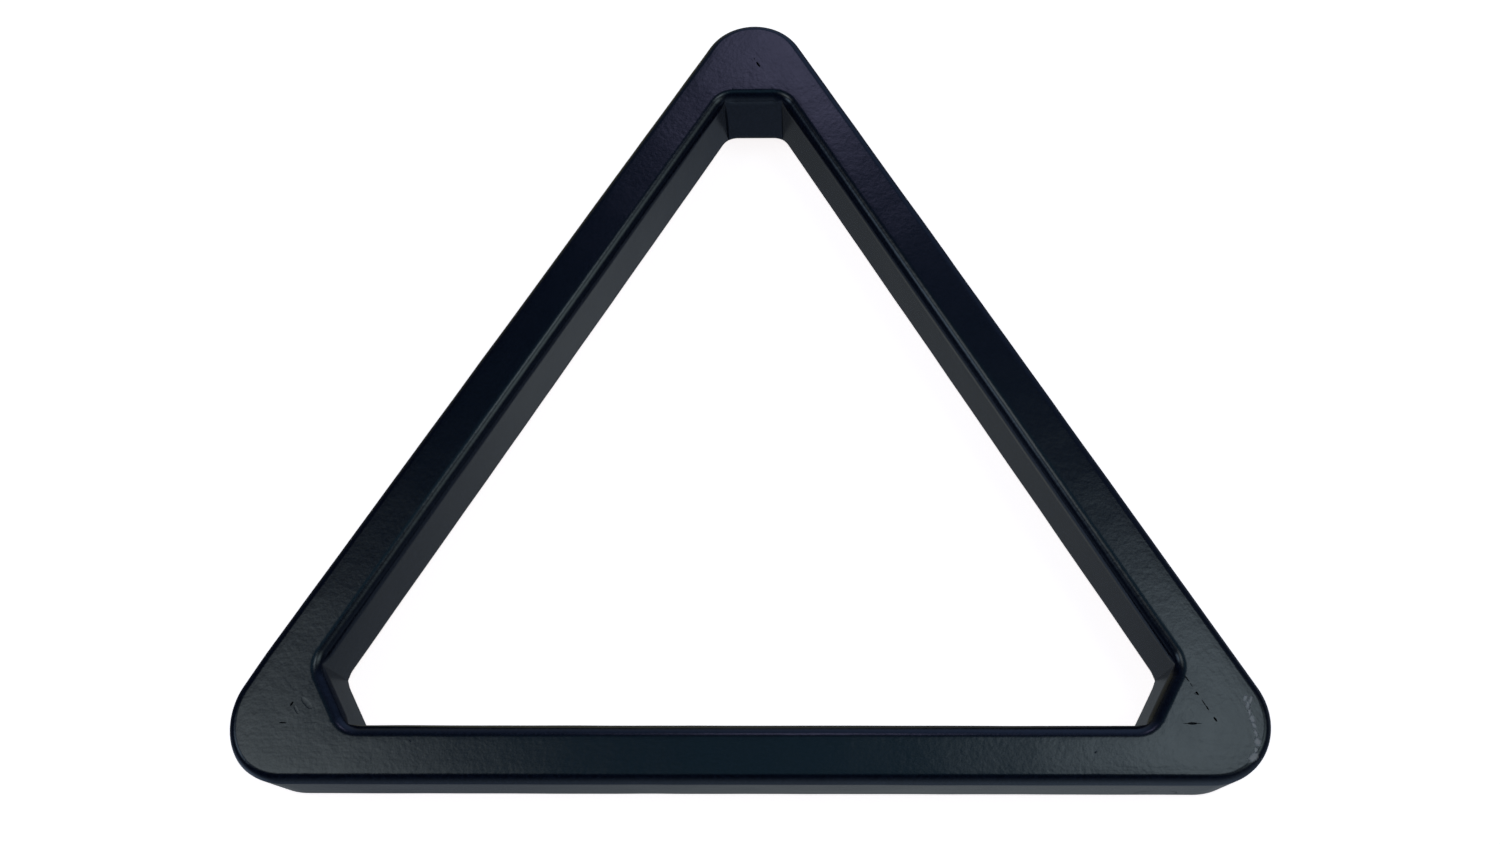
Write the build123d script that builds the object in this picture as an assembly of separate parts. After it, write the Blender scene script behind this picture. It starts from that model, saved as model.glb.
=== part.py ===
from build123d import *
import os
from math import cos, radians, sin, sqrt

# Wooden triangle rack for pool balls. It lies flat: X runs along the base rail, Y towards the apex, Z up.
# Lengths are in millimetres. The origin is the middle of the rack's box, at its underside.

# Balls: the opening takes a full triangle of them, with a little play
ball_diameter = 57.15
ball_rows = 5
ball_play = 1.0

# Timber
rail_width = 20.7
thickness = 33.0
block_depth = 21.0  # from the sharp inner corner to the face of the block that fills it

# Shaping of the glued-up frame
corner_radius = 22.5
outer_roundover = 3.7
inner_roundover = 5.0
cutter_bearing_radius = 7.0  # keeps the inner roundover out of the opening's sharp corners

# Mitre dowels: two in each joint, one above the other
dowel_diameter = 6.0
dowel_length = 24.0
dowel_end_chamfer = 0.8
dowel_hole_length = 26.0  # both rails together, which leaves room for glue at the ends
dowel_from_inner_corner = 8.5
dowel_heights = (thickness * 0.29, thickness * 0.71)

# Reaches from the triangle's centre: to a rail's inner and outer face, and to a rounded tip
opening_side = (ball_rows - 1 + sqrt(3)) * ball_diameter + ball_play
inner_reach = opening_side / (2 * sqrt(3))
outer_reach = inner_reach + rail_width
tip_reach = 2 * outer_reach - corner_radius
block_reach = 2 * inner_reach - block_depth

# The triangle's centre lies this far from the origin, along Y
centre_y = (outer_reach - tip_reach) / 2

# Directions from the triangle's centre, in degrees from +X
rail_angles = {"base_rail": 270, "right_rail": 30, "left_rail": 150}
corner_angles = {"apex": 90, "left": 210, "right": 330}


def at(reach, angle, aside=0.0):
    """The point at a reach from the centre along a direction, and then aside, square to it."""
    x = reach * cos(radians(angle)) - aside * sin(radians(angle))
    y = reach * sin(radians(angle)) + aside * cos(radians(angle))
    return (x, y)


def corner_line(reach, angle):
    """The two ends of a line square to a corner's direction, where it meets the rails' inner faces."""
    half_width = (inner_reach - reach / 2) / sin(radians(60))
    return [at(reach, angle, -half_width), at(reach, angle, half_width)]


def prism(points):
    """An upright prism over an outline, as tall as the timber is thick."""
    return extrude(Polygon(*points, align=None), thickness, dir=(0, 0, 1))


def rounded_prism(points, radius):
    """The same, with its upright edges rounded."""
    outline = Polygon(*points, align=None)
    return extrude(fillet(outline.vertices(), radius), thickness, dir=(0, 0, 1))


def shaped_frame():
    """The whole frame with its corners and edges rounded, before it is told apart into its pieces."""
    slab = rounded_prism([at(2 * outer_reach, angle) for angle in corner_angles.values()], corner_radius)
    rims = slab.edges().group_by(Axis.Z)
    slab = fillet(rims[0] + rims[-1], outer_roundover)

    opening = [point for angle in corner_angles.values() for point in corner_line(block_reach, angle)]
    frame = slab - rounded_prism(opening, cutter_bearing_radius)
    faces = frame.faces().sort_by(Axis.Z)
    rims = faces[0].inner_wires()[0].edges() + faces[-1].inner_wires()[0].edges()
    frame = fillet(rims, inner_roundover)
    return frame - prism(opening)


def rail_prism(angle):
    """The space of one rail, between its two mitres."""
    ends = (angle - 60, angle + 60)
    inner = [at(2 * inner_reach, end) for end in ends]
    outer = [at(2 * outer_reach, end) for end in reversed(ends)]
    return prism(inner + outer)


def block_prism(angle):
    """The space of one corner block, with room to spare in front of its face."""
    return prism([at(2 * inner_reach, angle)] + corner_line(block_reach - 1, angle))


def across_mitre(angle, height):
    """The place on a mitre where a dowel crosses it, lying square to it."""
    x, y = at(2 * inner_reach + dowel_from_inner_corner, angle)
    return Pos(x, y, height) * Rot(0, 0, angle) * Rot(90, 0, 0)


def dowel():
    """One dowel about its own middle, with its ends eased."""
    pin = Cylinder(dowel_diameter / 2, dowel_length)
    return chamfer(pin.edges().filter_by(GeomType.CIRCLE), dowel_end_chamfer)


def make_parts():
    """Every node's shape, in the rack's own frame."""
    frame = shaped_frame()
    places = {corner: [across_mitre(angle, height) for height in dowel_heights]
              for corner, angle in corner_angles.items()}
    hole = Cylinder(dowel_diameter / 2, dowel_hole_length)
    holes = [place * hole for corner in places for place in places[corner]]

    parts = {}
    for name, angle in rail_angles.items():
        parts[name] = (frame & rail_prism(angle)) - holes
    for corner, angle in corner_angles.items():
        parts[corner + "_corner_block"] = frame & block_prism(angle)
        parts[corner + "_mitre_dowels"] = Part() + [place * dowel() for place in places[corner]]
    return {name: Pos(0, centre_y, 0) * part for name, part in parts.items()}


os.makedirs("parts", exist_ok=True)
for name, part in make_parts().items():
    export_step(part, "parts/" + name + ".step")
    print(name, "solids", len(part.solids()), "volume", round(part.volume))
print("rack", round(opening_side, 2), "mm inside;", round(outer_reach + tip_reach, 2), "mm from base to apex")
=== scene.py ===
from math import cos, degrees, radians, sin

import bmesh
import bpy
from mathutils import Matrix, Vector


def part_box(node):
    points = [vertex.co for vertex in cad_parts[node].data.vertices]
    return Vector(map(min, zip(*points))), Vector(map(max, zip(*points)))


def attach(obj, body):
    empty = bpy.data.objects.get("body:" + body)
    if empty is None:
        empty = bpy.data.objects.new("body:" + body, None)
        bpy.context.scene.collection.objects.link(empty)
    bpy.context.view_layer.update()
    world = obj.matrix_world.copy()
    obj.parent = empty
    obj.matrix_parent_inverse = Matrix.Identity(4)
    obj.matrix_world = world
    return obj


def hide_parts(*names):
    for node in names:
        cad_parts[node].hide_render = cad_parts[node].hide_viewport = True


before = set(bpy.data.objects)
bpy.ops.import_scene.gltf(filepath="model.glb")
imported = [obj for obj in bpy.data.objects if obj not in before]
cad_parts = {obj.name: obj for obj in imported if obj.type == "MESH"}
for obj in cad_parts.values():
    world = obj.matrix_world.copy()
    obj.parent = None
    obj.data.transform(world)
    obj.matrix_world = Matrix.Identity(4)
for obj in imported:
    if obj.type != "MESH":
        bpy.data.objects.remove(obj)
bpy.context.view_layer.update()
MM = 0.001

# ---------------------------------------------------------------------------
# The rack's sizes, read from the frame. Reaches are measured from the triangle's centre.

base_low, base_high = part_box("base_rail")
block_low, block_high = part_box("apex_corner_block")
tip_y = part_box("left_rail")[1].y
thickness = base_high.z - base_low.z
inner_reach = (block_high.y - base_high.y) / 3
centre = Vector((0, base_high.y + inner_reach, base_low.z))
outer_reach = centre.y - base_low.y
tip_reach = tip_y - centre.y
corner_radius = 2 * outer_reach - tip_reach
block_reach = block_low.y - centre.y

RAILS = {"base_rail": 270, "right_rail": 30, "left_rail": 150}
CORNERS = {"apex": 90, "left": 210, "right": 330}

# Shaping
OUTER_ROUNDOVER = 3.7 * MM
INNER_ROUNDOVER = 5.0 * MM
CUTTER_BEARING = 7.0 * MM
ARC_STEPS = 144  # round a whole circle
FACE_STEPS = 8  # along half of a corner block's face
RAIL_STEPS = 60  # along half of the straight part of an opening's side
TOP_ROWS = 2
WALL_ROWS = 6
HAND_SANDING = 0.22 * MM
SANDING_WAVE = 28 * MM
OUTER_ROUNDOVER_STEPS = 8
INNER_ROUNDOVER_STEPS = 10
FLANK_ANGLE = 172  # where the left corner's rounding was sanded further, from +X about its hub
FLANK_REACH = 24 * MM
FLANK_DEPTH = 1.1 * MM
SMOOTH_BELOW = 35  # degrees
SEAM_CLEARANCE = 0.01 * MM
OFF_SEAM = 0.023 * MM  # an opened seam bites a little more into the rail than into the block
GLUE_ROOM = 1 * MM  # past each end of a dowel


def direction(angle):
    """A level unit vector, by its angle in degrees from +X."""
    return Vector((cos(radians(angle)), sin(radians(angle)), 0))


def at(reach, angle, aside=0.0, height=0.0):
    """A point at a reach from the triangle's centre, and then aside and up."""
    return centre + direction(angle) * reach + direction(angle + 90) * aside + Vector((0, 0, height))


def corner_line(reach, angle, inset=0.0):
    """The two ends of a line square to a corner's direction, between the rails' inner faces."""
    half_width = ((inner_reach - inset) - (reach - inset) / 2) / sin(radians(60))
    return [at(reach - inset, angle, -half_width), at(reach - inset, angle, half_width)]


# ---------------------------------------------------------------------------
# Mesh work


def use_only(piece):
    """Leaves everything else deselected, and the piece active."""
    bpy.ops.object.select_all(action="DESELECT")
    piece.select_set(True)
    bpy.context.view_layer.objects.active = piece


def edit(piece):
    use_only(piece)
    bpy.ops.object.mode_set(mode="EDIT")
    bpy.ops.mesh.select_mode(type="VERT")


def leave_edit():
    bpy.ops.object.mode_set(mode="OBJECT")


def pick(piece, kind, wanted):
    """In edit mode, selects only the vertices, edges or faces that are wanted."""
    bpy.ops.mesh.select_all(action="DESELECT")
    bpy.ops.mesh.select_mode(type={"verts": "VERT", "edges": "EDGE", "faces": "FACE"}[kind])
    mesh = bmesh.from_edit_mesh(piece.data)
    for part in getattr(mesh, kind):
        part.select_set(bool(wanted(part)))
    mesh.select_flush_mode()
    bmesh.update_edit_mesh(piece.data)


def middle(edge):
    return (edge.verts[0].co + edge.verts[1].co) / 2


def angle_from(point, hub, facing):
    """How far round a hub a point lies from a facing direction, in degrees."""
    arm = (point - hub).to_2d()
    return degrees(arm.angle_signed(direction(facing).to_2d(), 0))


def outline(piece, corners, straights):
    """Draws a closed outline of arcs and straight sides into the piece that is being edited.

    corners holds (hub, radius, facing, half turn), in order.
    straights holds the steps of half of the side after each corner.
    """
    for hub, radius, facing, half_turn in corners:
        top = Vector((hub.x, hub.y, thickness))
        bpy.ops.mesh.select_all(action="SELECT")
        bpy.ops.mesh.hide()
        bpy.ops.mesh.primitive_circle_add(vertices=ARC_STEPS, radius=radius, location=top)
        pick(piece, "verts", lambda v: not v.hide and abs(angle_from(v.co, top, facing)) > half_turn + 0.1)
        bpy.ops.mesh.delete(type="VERT")
        bpy.ops.mesh.reveal(select=False)
    for k, (hub, radius, facing, half_turn) in enumerate(corners):
        next_hub, next_radius, next_facing, next_half = corners[(k + 1) % len(corners)]
        start = hub + direction(facing + half_turn) * radius
        end = next_hub + direction(next_facing - next_half) * next_radius
        ends = [Vector((p.x, p.y, thickness)) for p in (start, end)]
        pick(piece, "verts", lambda v: min((v.co - p).length for p in ends) < 0.01 * MM)
        bpy.ops.mesh.edge_face_add()
        bpy.ops.mesh.subdivide(number_cuts=1)
        bpy.ops.mesh.subdivide(number_cuts=straights[k] - 1)


def opening_corners():
    """The six rounded corners of the cutter's path: (hub, facing) going round anticlockwise."""
    found = []
    for angle in CORNERS.values():
        right, left = corner_line(block_reach, angle, CUTTER_BEARING)
        found += [(right, angle - 30), (left, angle + 30)]
    return found


def sharpen_opening(ring):
    """Below the roundover, walls and corner blocks meet in sharp corners, which the cutter couldn't reach."""
    for vertex in ring.data.vertices:
        for hub, facing in opening_corners():
            off_middle = abs(angle_from(vertex.co, hub, facing))
            if off_middle < 30:
                arm = vertex.co - hub
                arm.z = 0
                sharp = CUTTER_BEARING / cos(radians(30 - off_middle))
                if arm.length < sharp:
                    vertex.co += arm * (sharp / arm.length - 1)


def sand_by_hand(ring):
    """Hand sanding leaves the surface faintly uneven. It only ever takes wood away."""
    clouds = bpy.data.textures.new("hand_sanding", "CLOUDS")
    clouds.noise_scale = SANDING_WAVE
    clouds.noise_depth = 1
    use_only(ring)
    bpy.ops.object.modifier_add(type="DISPLACE")
    sanding = ring.modifiers[-1]
    sanding.texture = clouds
    sanding.texture_coords = "LOCAL"
    sanding.mid_level = 1
    sanding.strength = HAND_SANDING
    bpy.ops.object.modifier_apply(modifier=sanding.name)


def rub_down(ring, spot, reach, depth):
    """Sanding by hand took a little more off in one place. The depth fades out evenly with distance."""
    for vertex in ring.data.vertices:
        away = (vertex.co - spot).to_2d().length / reach
        if away < 1:
            inward = (centre - vertex.co).to_2d().normalized().to_3d()
            vertex.co += inward * (depth * (1 - away * away) ** 2)


def round_over(ring, wanted, radius, steps):
    """Rounds over the edges that are wanted."""
    pick(ring, "edges", wanted)
    bpy.ops.mesh.bevel(offset=radius, segments=steps, profile=0.5, clamp_overlap=False, loop_slide=False)


def shaped_frame():
    """The whole glued-up frame, rounded over and sanded, before its pieces are told apart."""
    bpy.ops.mesh.primitive_circle_add(vertices=3)
    ring = bpy.context.active_object
    ring.name = "shaped_frame"
    edit(ring)
    bpy.ops.mesh.delete(type="VERT")
    hub_reach = 2 * (outer_reach - corner_radius)
    outer = [(at(hub_reach, angle), corner_radius, angle, 60) for angle in CORNERS.values()]
    outline(ring, outer, [RAIL_STEPS + FACE_STEPS] * 3)
    inner = [(hub, CUTTER_BEARING, facing, 30) for hub, facing in opening_corners()]
    outline(ring, inner, [FACE_STEPS, RAIL_STEPS] * 3)
    bpy.ops.mesh.select_all(action="SELECT")
    bpy.ops.mesh.bridge_edge_loops(number_cuts=TOP_ROWS, interpolation="LINEAR")
    bpy.ops.mesh.select_all(action="SELECT")
    for row in range(WALL_ROWS):
        drop = {"value": (0, 0, -thickness / WALL_ROWS), "orient_type": "GLOBAL"}
        bpy.ops.mesh.extrude_region_move(TRANSFORM_OT_translate=drop)
    bpy.ops.mesh.select_all(action="SELECT")
    bpy.ops.mesh.normals_make_consistent(inside=False)

    def on_opening(point):
        return max((point - centre).dot(direction(a)) for a in RAILS.values()) < inner_reach + 0.5 * MM

    def is_rim(edge):
        return len(edge.link_faces) == 2 and edge.calc_face_angle(0) > radians(60)

    def is_outer_rim(edge):
        return is_rim(edge) and not on_opening(middle(edge))

    def is_inner_rim(edge):
        return is_rim(edge) and on_opening(middle(edge))

    round_over(ring, is_outer_rim, OUTER_ROUNDOVER, OUTER_ROUNDOVER_STEPS)
    round_over(ring, is_inner_rim, INNER_ROUNDOVER, INNER_ROUNDOVER_STEPS)
    leave_edit()
    sharpen_opening(ring)
    sand_by_hand(ring)
    flank = at(hub_reach, CORNERS["left"]) + direction(FLANK_ANGLE) * corner_radius
    rub_down(ring, flank, FLANK_REACH, FLANK_DEPTH)
    return ring


# ---------------------------------------------------------------------------
# Pieces


def cut(piece, point, away):
    """Saws a piece through, drops the side that the plane faces and closes the sawn face."""
    edit(piece)
    bpy.ops.mesh.select_all(action="SELECT")
    bpy.ops.mesh.bisect(plane_co=point, plane_no=away, use_fill=True, clear_outer=True, threshold=1e-7)
    leave_edit()


def copy_of(ring, name):
    use_only(ring)
    bpy.ops.object.duplicate()
    piece = bpy.context.active_object
    piece.name = name
    piece.data.name = name
    return piece


def rail(ring, name, angle):
    """One rail, from mitre to mitre."""
    piece = copy_of(ring, name)
    cut(piece, centre, direction(angle + 150))
    cut(piece, centre, direction(angle - 150))
    cut(piece, at(inner_reach - SEAM_CLEARANCE, angle), -direction(angle))
    return piece


def corner_block(ring, name, angle):
    """The triangular block glued into a sharp inner corner."""
    piece = copy_of(ring, name)
    for side in (-60, 60):
        cut(piece, at(inner_reach - SEAM_CLEARANCE, angle + side), direction(angle + side))
    cut(piece, at(block_reach - 1 * MM, angle), -direction(angle))
    return piece


# ---------------------------------------------------------------------------
# Marks of making and wear, and the tools that cut them. The marks are in millimetres, and their places are
# measured from the triangle's centre, if not said otherwise.

# Where the paint has cracked along a glue line on top: corner, the rail that the seam runs along, how far out
# from the sharp inner corner its middle lies, and its length, width and depth
OPENED_SEAMS = [
    ("right", "right_rail", 18.0, 2.8, 0.42, 0.80),
    ("right", "right_rail", 15.4, 1.6, 0.30, 0.50),
    ("right", "right_rail", 12.0, 1.5, 0.75, 1.10),
    ("right", "right_rail", 8.2, 2.6, 0.40, 0.80),
    ("right", "right_rail", 6.2, 2.0, 0.52, 0.90),
    ("right", "right_rail", 1.6, 1.9, 0.75, 1.10),
    ("right", "base_rail", 8.9, 3.4, 0.85, 1.20),
    ("right", "base_rail", 8.9, 7.0, 0.30, 0.45),
    ("left", "left_rail", 7.6, 1.9, 0.70, 1.10),
    ("left", "base_rail", 1.6, 2.7, 0.50, 0.80),
    ("left", "base_rail", 13.5, 16.0, 0.22, 0.16),
    ("apex", "right_rail", 3.9, 3.2, 0.95, 1.30),
    ("apex", "right_rail", 0.2, 1.4, 0.45, 0.40),
]

# The apex block's upright glue lines, the left one open from top to bottom: rail beside it, width, depth
WALL_SEAMS = [("left_rail", 1.00, 1.20), ("right_rail", 0.50, 0.50)]
WALL_SEAM_MIDDLE = 0.43  # of the thickness
WALL_SEAM_LENGTH = 0.80  # of the thickness
OFF_CORNER = (0.02, 0.03, 0)  # keeps a wall seam from starting exactly on the corner

# Shallow creases where the lacquer shrank beside the glue lines: block, place, angle, length, width, depth
CREASES = [
    ("left", (-158.5, -90.4), -57, 4.2, 1.5, 0.05),
    ("left", (-155.2, -88.0), -44, 6.0, 2.2, 0.04),
    ("right", (155.6, -91.4), -74, 7.0, 2.4, 0.035),
    ("right", (158.4, -84.4), 8, 2.6, 0.9, 0.05),
]
SANDED_OFF = 0.12  # about how far hand sanding has lowered the top

# Specks of grit in the base rail's top: place, half sizes
NIBS = [
    ((-117.0, -101.2, 32.83), (0.55, 0.45, 0.16)),
    ((121.2, -104.7, 32.83), (0.75, 0.40, 0.16)),
]
NIB_TURN = 0.4  # radians

# The bowed hair crack in the base rail's outer face
CRACK_ASIDE = 146.5
CRACK_HEIGHT = 8.0
CRACK_RADIUS = 7.4
CRACK_THICKNESS = 0.26
CRACK_LEAN = 87  # degrees


def carve(piece, tool, operation="DIFFERENCE"):
    """Takes a tool's shape out of a piece, or adds it on."""
    use_only(piece)
    bpy.ops.object.modifier_add(type="BOOLEAN")
    boolean = piece.modifiers[-1]
    boolean.object = tool
    boolean.operation = operation
    boolean.solver = "EXACT"
    bpy.ops.object.modifier_apply(modifier=boolean.name)


def place(tool):
    """Puts a tool's place and size into its mesh."""
    use_only(tool)
    bpy.ops.object.transform_apply(location=True, rotation=True, scale=True)


def nick(pieces, middle_point, angle, length, width, depth, upright=False):
    """A short cleft cut into every piece that it crosses, level or upright."""
    size = (length / 2, width / 2, depth)
    if upright:
        size = (depth, width / 2, length / 2)
    bpy.ops.mesh.primitive_uv_sphere_add(segments=16, ring_count=10, radius=1, location=middle_point,
                                         rotation=(0, 0, radians(angle)), scale=size)
    tool = bpy.context.active_object
    place(tool)
    for piece in pieces:
        carve(piece, tool)
    bpy.data.objects.remove(tool)


def nib(piece, point, size):
    """A speck of grit under the lacquer."""
    bpy.ops.mesh.primitive_uv_sphere_add(segments=16, ring_count=10, radius=1, location=point,
                                         rotation=(0, 0, NIB_TURN), scale=size)
    speck = bpy.context.active_object
    place(speck)
    carve(piece, speck, "UNION")
    bpy.data.objects.remove(speck)


def bowed_crack(piece, middle_point, radius, thick):
    """A hair crack in an upright face. The ring leans out of the face, so only its top bites."""
    bpy.ops.mesh.primitive_torus_add(major_segments=96, minor_segments=8, major_radius=radius,
                                     minor_radius=thick, location=middle_point,
                                     rotation=(radians(CRACK_LEAN), 0, 0))
    tool = bpy.context.active_object
    place(tool)
    carve(piece, tool)
    bpy.data.objects.remove(tool)


def finish_mesh(piece):
    use_only(piece)
    bpy.ops.object.shade_smooth_by_angle(angle=radians(SMOOTH_BELOW))
    bpy.ops.object.modifier_add(type="WEIGHTED_NORMAL")
    weighted = piece.modifiers[-1]
    weighted.keep_sharp = True
    weighted.weight = 80
    bpy.ops.object.modifier_apply(modifier=weighted.name)


# ---------------------------------------------------------------------------
# Making the pieces

ring = shaped_frame()
pieces = {name: rail(ring, name + "_lacquered", angle) for name, angle in RAILS.items()}
for corner, angle in CORNERS.items():
    name = corner + "_corner_block"
    pieces[name] = corner_block(ring, name + "_lacquered", angle)
bpy.data.objects.remove(ring)


def dowel_holes():
    """The blind holes of the mitre dowels, square to each mitre. The apex's pair gives their places."""
    low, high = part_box("apex_mitre_dowels")
    radius = (high.y - low.y) / 2
    reach = (low.y + high.y) / 2 - centre.y
    for corner, angle in CORNERS.items():
        for height in (low.z + radius, high.z - radius):
            bpy.ops.mesh.primitive_cylinder_add(vertices=32, radius=radius,
                                                depth=high.x - low.x + 2 * GLUE_ROOM,
                                                location=at(reach, angle, height=height - centre.z),
                                                rotation=(radians(90), 0, radians(angle)))
            drill = bpy.context.active_object
            place(drill)
            for name, facing in RAILS.items():
                if cos(radians(facing - angle)) > 0:
                    carve(pieces[name], drill)
            bpy.data.objects.remove(drill)


def open_seams():
    for corner, along, out, length, width, depth in OPENED_SEAMS:
        corner_angle = CORNERS[corner]
        turned = (RAILS[along] - corner_angle + 180) % 360 - 180
        heading = corner_angle + 180 - (30 if turned > 0 else -30)
        start = at(2 * inner_reach, corner_angle, height=thickness)
        where = start + direction(heading) * (out * MM) + direction(RAILS[along]) * OFF_SEAM
        nick([pieces[along], pieces[corner + "_corner_block"]], where, heading,
             length * MM, width * MM, depth * MM)


def open_wall_seams():
    right, left = corner_line(block_reach, CORNERS["apex"])
    for foot, (beside, width, depth) in zip((left, right), WALL_SEAMS):
        where = foot + Vector((0, 0, WALL_SEAM_MIDDLE * thickness)) + Vector(OFF_CORNER) * MM
        nick([pieces[beside], pieces["apex_corner_block"]], where, 90, WALL_SEAM_LENGTH * thickness,
             width * MM, depth * MM, upright=True)


def crease_corner_blocks():
    for corner, (x, y), angle, length, width, depth in CREASES:
        where = centre + Vector((x, y, thickness / MM - SANDED_OFF)) * MM
        nick([pieces[corner + "_corner_block"]], where, angle, length * MM, width * MM, depth * MM)


def mark_base_rail():
    base_rail = pieces["base_rail"]
    for where, half_sizes in NIBS:
        nib(base_rail, centre + Vector(where) * MM, [half * MM for half in half_sizes])
    crack_middle = at(outer_reach, RAILS["base_rail"], aside=CRACK_ASIDE * MM, height=CRACK_HEIGHT * MM)
    bowed_crack(base_rail, crack_middle, CRACK_RADIUS * MM, CRACK_THICKNESS * MM)


dowel_holes()
open_seams()
open_wall_seams()
crease_corner_blocks()
mark_base_rail()
for name, piece in pieces.items():
    finish_mesh(piece)
    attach(piece, "root")
    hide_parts(name)

# ---------------------------------------------------------------------------
# Materials


def new_material(name):
    material = bpy.data.materials.new(name)
    material.use_nodes = True
    return material, material.node_tree, material.node_tree.nodes["Principled BSDF"]


def add_node(tree, kind, inputs=None, **settings):
    """A node with its settings, and its inputs set or linked."""
    node = tree.nodes.new(kind)
    for name, value in settings.items():
        setattr(node, name, value)
    for name, value in (inputs or {}).items():
        if isinstance(value, bpy.types.NodeSocket):
            tree.links.new(value, node.inputs[name])
        else:
            node.inputs[name].default_value = value
    return node


def noise(tree, where, scale, detail):
    """Cloudy noise, from 0 to 1. The scale is about how many clouds there are to a metre."""
    inputs = {"Vector": where, "Scale": scale, "Detail": detail}
    return add_node(tree, "ShaderNodeTexNoise", inputs).outputs[0]


def between(tree, amount, first, second, stops=(0, 1)):
    """A colour between two, by an amount. It changes only between the two stops."""
    ramp = add_node(tree, "ShaderNodeValToRGB", {"Fac": amount})
    for element, stop, colour in zip(ramp.color_ramp.elements, stops, (first, second)):
        element.position = stop
        element.color = (*colour, 1)
    return ramp.outputs[0]


def relief(tree, height, distance, strength, over=None):
    """A relief, laid over the one before it."""
    inputs = {"Height": height, "Distance": distance, "Strength": strength}
    if over:
        inputs["Normal"] = over
    return add_node(tree, "ShaderNodeBump", inputs).outputs[0]


DEEP_BLACK = (0.0004, 0.0010, 0.0045)
FLECK_BLACK = (0.0042, 0.0062, 0.0135)
BARE_WOOD = (0.52, 0.45, 0.39, 1)
DARK_BEECH = (0.50, 0.34, 0.20)
LIGHT_BEECH = (0.72, 0.54, 0.36)
WORN_FROM = 0.50  # the lacquer starts to wear through at this sum of nearness and raggedness
WORN_TO = 1.10
WORN_ROUGHNESS = 0.55

# Where the right corner has rubbed against something, about the hub of its outer rounding, in millimetres:
# distance out, angle from the corner's direction, half length, half width, turn
RUBBED = [
    (15.3, 57, 1.7, 0.9, 60),
    (14.9, 48, 2.1, 0.9, 75),
    (14.6, 38, 1.4, 0.6, 80),
    (15.1, 29, 1.9, 1.3, -75),
    (15.6, 21, 1.5, 0.9, -60),
    (16.4, 12, 1.7, 0.7, -80),
    (17.8, 3, 1.9, 1.5, 85),
    (18.4, -6, 1.2, 0.7, 80),
    (19.1, -14, 2.8, 1.4, 40),
    (16.6, 52, 2.2, 0.6, 70),
]


def worn_places(tree, where, ragged, spots):
    """How worn the lacquer is, from 0 to 1: by the nearest spot, with ragged edges."""
    worn = None
    for point, half_length, half_width, turn in spots:
        local = add_node(tree, "ShaderNodeMapping", {"Vector": where, "Location": point,
                                                     "Rotation": (0, 0, radians(turn)),
                                                     "Scale": (half_length, half_width, 3 * MM)},
                         vector_type="TEXTURE")
        far = add_node(tree, "ShaderNodeVectorMath", {0: local.outputs[0]}, operation="LENGTH")
        near = add_node(tree, "ShaderNodeMath", {0: 1.0, 1: far.outputs["Value"]}, operation="SUBTRACT")
        most = add_node(tree, "ShaderNodeMath", {0: near.outputs[0], 1: worn or -1.0}, operation="MAXIMUM")
        worn = most.outputs[0]
    edge = add_node(tree, "ShaderNodeMath", {0: ragged, 1: worn}, operation="ADD")
    return add_node(tree, "ShaderNodeMapRange",
                    {"Value": edge.outputs[0], "From Min": WORN_FROM, "From Max": WORN_TO}).outputs[0]


def black_lacquer(name, grain_angle, spots=()):
    """Black satin lacquer, sprayed over wood whose grain runs one way and shows faintly through."""
    material, tree, shader = new_material(name)
    where = add_node(tree, "ShaderNodeTexCoord").outputs["Object"]
    along = add_node(tree, "ShaderNodeMapping", {"Vector": where, "Rotation": (0, 0, radians(-grain_angle))})
    grain_place = add_node(tree, "ShaderNodeMapping", {"Vector": along.outputs[0], "Scale": (0.07, 1, 1)})
    grain = noise(tree, grain_place.outputs[0], 560, 1.5)
    peel = noise(tree, where, 620, 1.5)
    wave = noise(tree, where, 150, 2)
    cloud = noise(tree, where, 90, 4)
    fleck = noise(tree, where, 1000, 2)

    colour = between(tree, fleck, DEEP_BLACK, FLECK_BLACK, stops=(0.36, 0.64))
    gloss = add_node(tree, "ShaderNodeMapRange", {"Value": cloud, "To Min": 0.15, "To Max": 0.22})
    roughness = gloss.outputs[0]
    if spots:
        worn = worn_places(tree, where, noise(tree, where, 1400, 3), spots)
        rubbed = add_node(tree, "ShaderNodeMixRGB", {"Fac": worn, "Color1": colour, "Color2": BARE_WOOD})
        dulled = add_node(tree, "ShaderNodeMapRange",
                          {"Value": worn, "To Min": roughness, "To Max": WORN_ROUGHNESS})
        colour, roughness = rubbed.outputs[0], dulled.outputs[0]
    tree.links.new(colour, shader.inputs["Base Color"])
    tree.links.new(roughness, shader.inputs["Roughness"])

    waves = relief(tree, wave, 0.08 * MM, 0.5)
    grained = relief(tree, grain, 0.035 * MM, 0.6, over=waves)
    orange_peel = relief(tree, peel, 0.055 * MM, 0.6, over=grained)
    tree.links.new(orange_peel, shader.inputs["Normal"])
    return material


def bare_beech():
    material, tree, shader = new_material("bare_beech")
    where = add_node(tree, "ShaderNodeTexCoord").outputs["Object"]
    fleck = noise(tree, where, 800, 3)
    tree.links.new(between(tree, fleck, DARK_BEECH, LIGHT_BEECH), shader.inputs["Base Color"])
    tree.links.new(relief(tree, fleck, 0.05 * MM, 0.4), shader.inputs["Normal"])
    shader.inputs["Roughness"].default_value = 0.65
    return material


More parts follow.
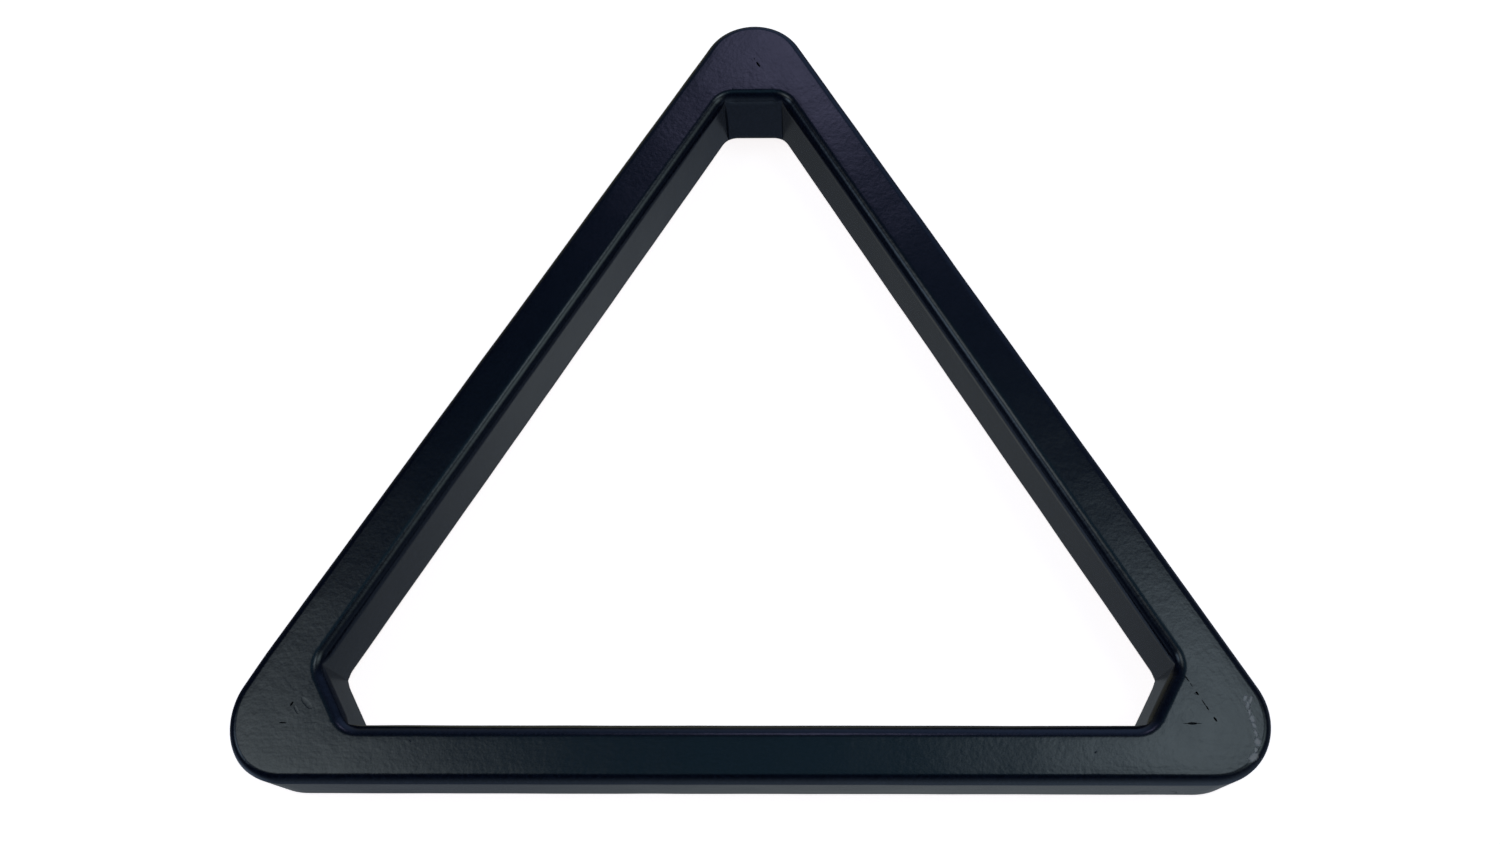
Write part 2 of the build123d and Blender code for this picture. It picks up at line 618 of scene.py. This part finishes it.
rubbed_hub = at(2 * (outer_reach - corner_radius), CORNERS["right"], height=thickness)
rubbed_spots = [(rubbed_hub + direction(CORNERS["right"] + turn) * (out * MM), length * MM, width * MM, lie)
                for out, turn, length, width, lie in RUBBED]
for name, angle in RAILS.items():
    spots = () if name == "left_rail" else rubbed_spots
    pieces[name].data.materials.clear()
    pieces[name].data.materials.append(black_lacquer(name + "_lacquer", angle + 90, spots))
for corner, angle in CORNERS.items():
    pieces[corner + "_corner_block"].data.materials.clear()
    pieces[corner + "_corner_block"].data.materials.append(black_lacquer(corner + "_block_lacquer", angle))
beech = bare_beech()
for corner in CORNERS:
    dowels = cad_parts[corner + "_mitre_dowels"]
    for slot in dowels.material_slots:
        slot.material = beech

# ---------------------------------------------------------------------------
# Floor, camera and light


def plain_glow(name, shade, glow):
    """A matt surface that glows evenly, as a light table does."""
    material, tree, shader = new_material(name)
    shader.inputs["Base Color"].default_value = (shade, shade, shade, 1)
    shader.inputs["Roughness"].default_value = 0.9
    shader.inputs["Specular IOR Level"].default_value = 0.1
    shader.inputs["Emission Color"].default_value = (1, 0.96, 0.95, 1)
    shader.inputs["Emission Strength"].default_value = glow
    return material


def pale_floor():
    """The floor. It doesn't show in the lacquer's gloss."""
    bpy.ops.mesh.primitive_plane_add(size=12, location=(0, 0, 0))
    floor = bpy.context.active_object
    floor.name = "floor"
    floor.data.materials.append(plain_glow("pale_floor", 0.86, 0.92))
    floor.visible_glossy = False


def pale_backdrop():
    """A plain surround behind everything. Only the camera sees it, so the light comes through."""
    bpy.ops.mesh.primitive_uv_sphere_add(segments=64, ring_count=32, radius=5.5, location=(0, 0, 0))
    backdrop = bpy.context.active_object
    backdrop.name = "backdrop"
    backdrop.data.materials.append(plain_glow("pale_backdrop", 0.0, 1.1))
    backdrop.visible_glossy = False
    backdrop.visible_diffuse = False
    backdrop.visible_shadow = False


def camera():
    lens = bpy.data.cameras.new("camera")
    lens.sensor_width = 36
    lens.lens = 31.39
    lens.shift_x = -0.0177
    lens.clip_start = 0.01
    eye = bpy.data.objects.new("camera", lens)
    eye.location = (0.0206, -0.2197, 0.4949)
    eye.rotation_euler = (0.3942, 0.0199, 0.0042)
    bpy.context.scene.collection.objects.link(eye)
    bpy.context.scene.camera = eye


# What the gloss reflects: soft lamps, by angle from +X, height above level, narrowness and colour.
SOFT_LAMPS = [
    ("high_left", 171, 66, 110, (2.15, 2.50, 2.60)),
    ("high_right", 28, 71, 160, (2.42, 2.95, 3.20)),
    ("high_back", 90, 51, 320, (1.70, 1.62, 2.62)),
    ("overhead", 100, 83, 40, (0.10, 0.26, 0.36)),
    ("left", 183, 44, 100, (1.54, 2.09, 2.70)),
    ("right", 357, 50, 47, (1.31, 1.68, 1.75)),
    ("low_back", 78, 24, 8, (0.22, 0.33, 0.62)),
    ("front", 292, -9, 3.6, (0.34, 0.45, 0.58)),
    ("low_left", 213, -17, 12.6, (0.40, 0.54, 0.76)),
    ("low_right", 20, -20, 8, (0.16, 0.19, 0.22)),
    ("under_back", 109, -21, 5.8, (0.28, 0.27, 0.15)),
    ("under_right", 2, -56, 66, (0.33, 0.36, 0.36)),
    ("under_left", 186, -50, 34, (0.47, 0.50, 0.45)),
    ("under", 345, -85, 11, (0.16, 0.17, 0.15)),
]
FILL = (0.01, 0.02, 0.05)


def studio_light():
    world = bpy.data.worlds.new("studio")
    world.use_nodes = True
    tree = world.node_tree
    toward = add_node(tree, "ShaderNodeTexCoord").outputs["Generated"]
    glow = None
    for name, angle, height, narrowness, colour in SOFT_LAMPS:
        aim = direction(angle) * cos(radians(height)) + Vector((0, 0, sin(radians(height))))
        facing = add_node(tree, "ShaderNodeVectorMath", {0: toward, 1: aim},
                          operation="DOT_PRODUCT", label=name)
        lit = add_node(tree, "ShaderNodeMath", {0: facing.outputs["Value"], 1: 0}, operation="MAXIMUM")
        spot = add_node(tree, "ShaderNodeMath", {0: lit.outputs[0], 1: narrowness}, operation="POWER")
        tint = add_node(tree, "ShaderNodeVectorMath", {0: colour, "Scale": spot.outputs[0]},
                        operation="SCALE")
        total = add_node(tree, "ShaderNodeVectorMath", {0: tint.outputs[0], 1: glow or FILL},
                         operation="ADD")
        glow = total.outputs[0]
    tree.links.new(glow, tree.nodes["Background"].inputs["Color"])
    bpy.context.scene.world = world


pale_floor()
pale_backdrop()
camera()
studio_light()
bpy.context.scene.view_settings.view_transform = "Standard"
